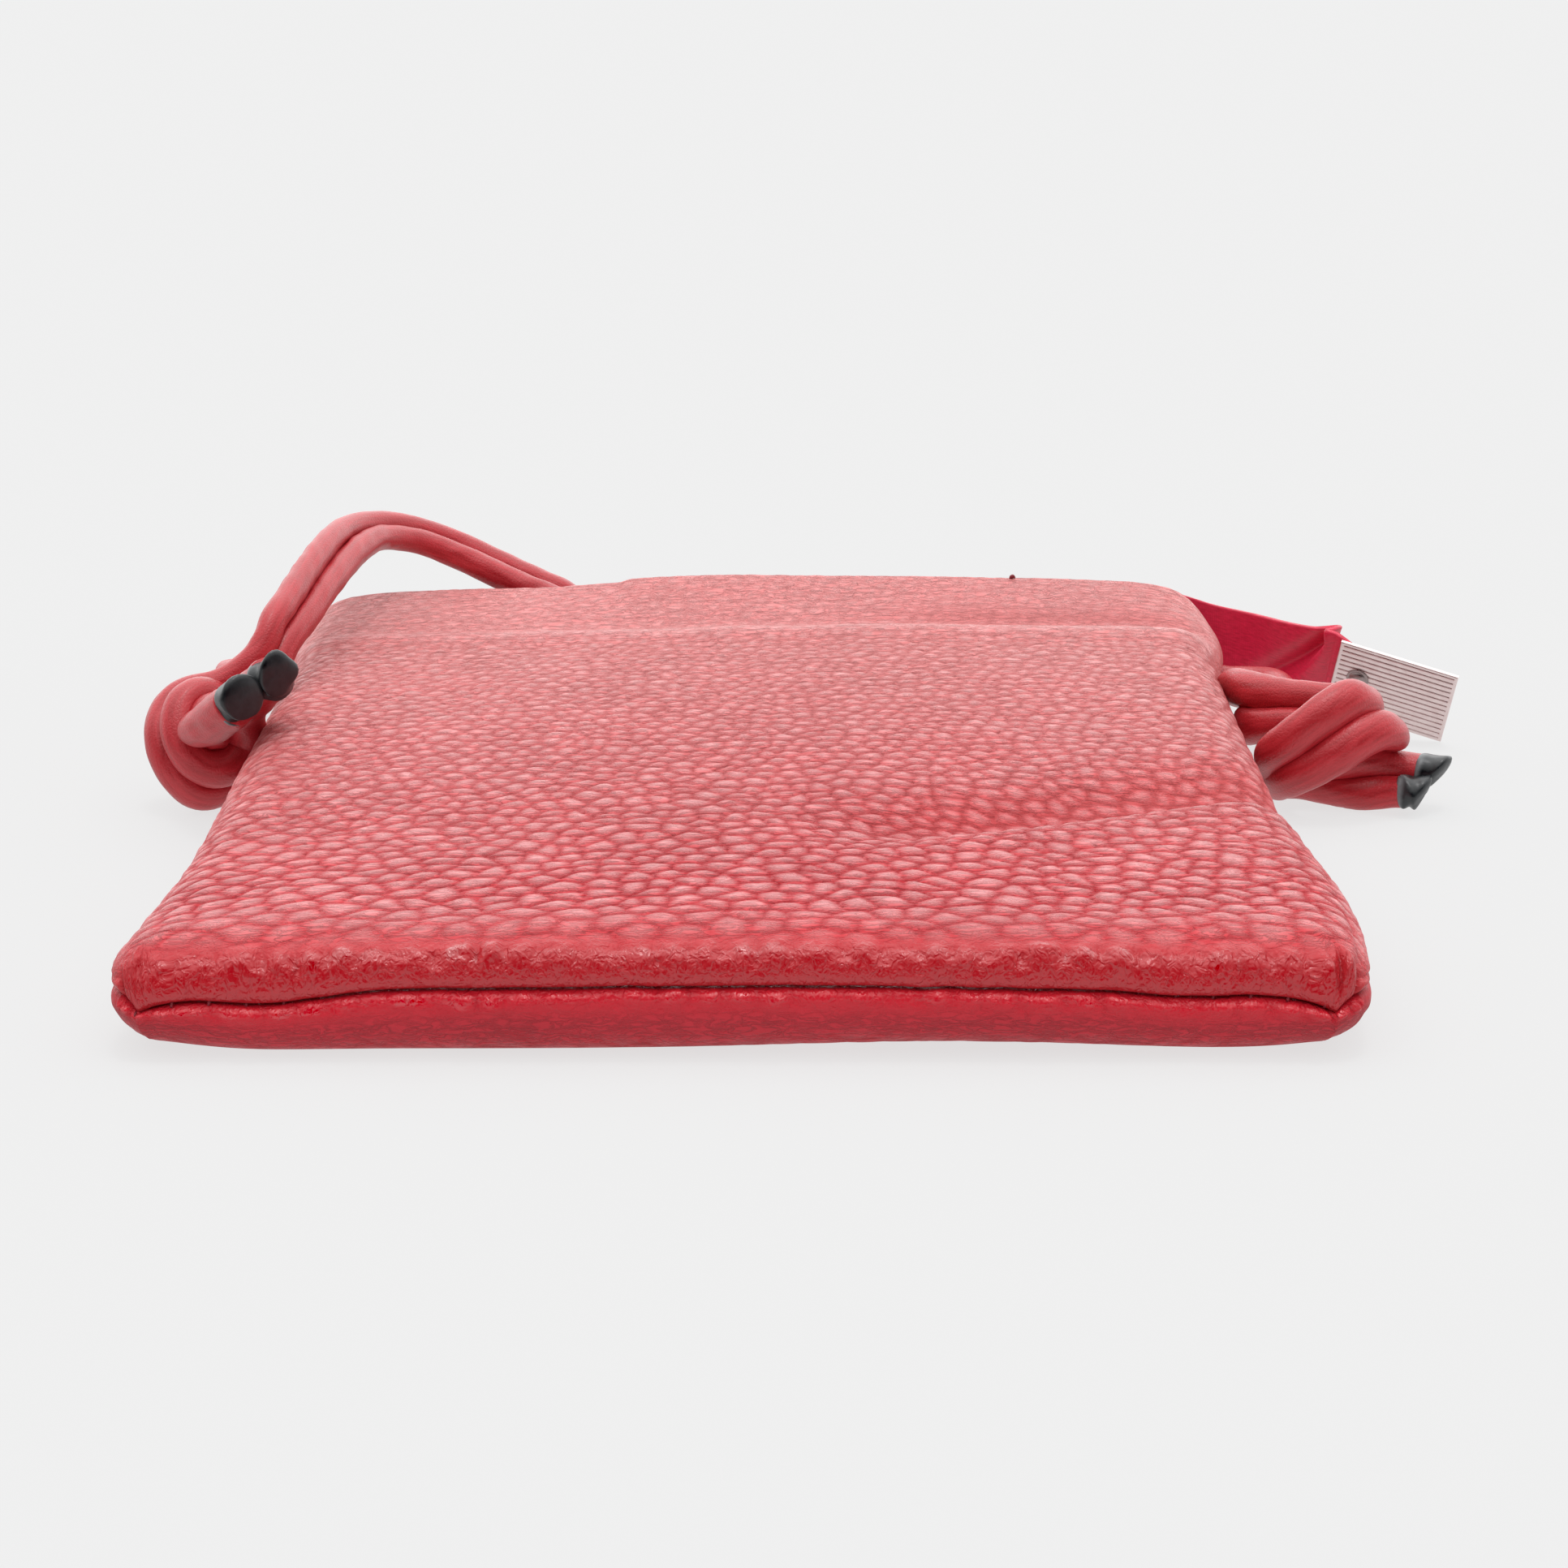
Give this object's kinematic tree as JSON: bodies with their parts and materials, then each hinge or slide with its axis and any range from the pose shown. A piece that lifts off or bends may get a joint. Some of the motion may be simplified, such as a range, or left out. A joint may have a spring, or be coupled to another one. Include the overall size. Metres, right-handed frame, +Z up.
{
  "type": "kinchaku drawstring pouch",
  "caption": "Flat drawstring pouch in pebble-grained leather with a satin lining, knotted drawcords in a mouth channel, and a satin tab with a ribbed metal tag.",
  "frame": {"origin": "on the floor under the middle of the pouch, at the flat underside of the back panel", "axes": "+X across the pouch to its right, +Y from the closed bottom edge to the mouth, +Z up"},
  "size_m": [0.2165, 0.2029, 0.0375],
  "materials": {
    "leather": "pebble-grained with a satin sheen",
    "lining": "satin weave",
    "cord": "smooth, fine grain",
    "tab": "satin weave",
    "tag": "ribbed, satin",
    "rivet": "domed, polished",
    "tip": "matt"
  },
  "bodies": {
    "root": {"front_panel": "leather", "back_panel": "leather", "front_lining": "lining", "back_lining": "lining", "front_channel_band": "lining", "back_channel_band": "lining", "left_drawcord_in_channel": "cord", "right_drawcord_in_channel": "cord", "label_tab": "tab", "tag_plate": "tag", "tag_rivet": "rivet", "tag_rivet_back": "rivet", "left_strand_1": "cord", "left_strand_2": "cord", "left_knot": "cord", "left_tail_1": "cord", "left_tail_2": "cord", "left_tip_1": "tip", "left_tip_2": "tip", "right_strand_1": "cord", "right_strand_2": "cord", "right_knot": "cord", "right_tail_1": "cord", "right_tail_2": "cord", "right_tip_1": "tip", "right_tip_2": "tip"}
  },
  "joints": []
}
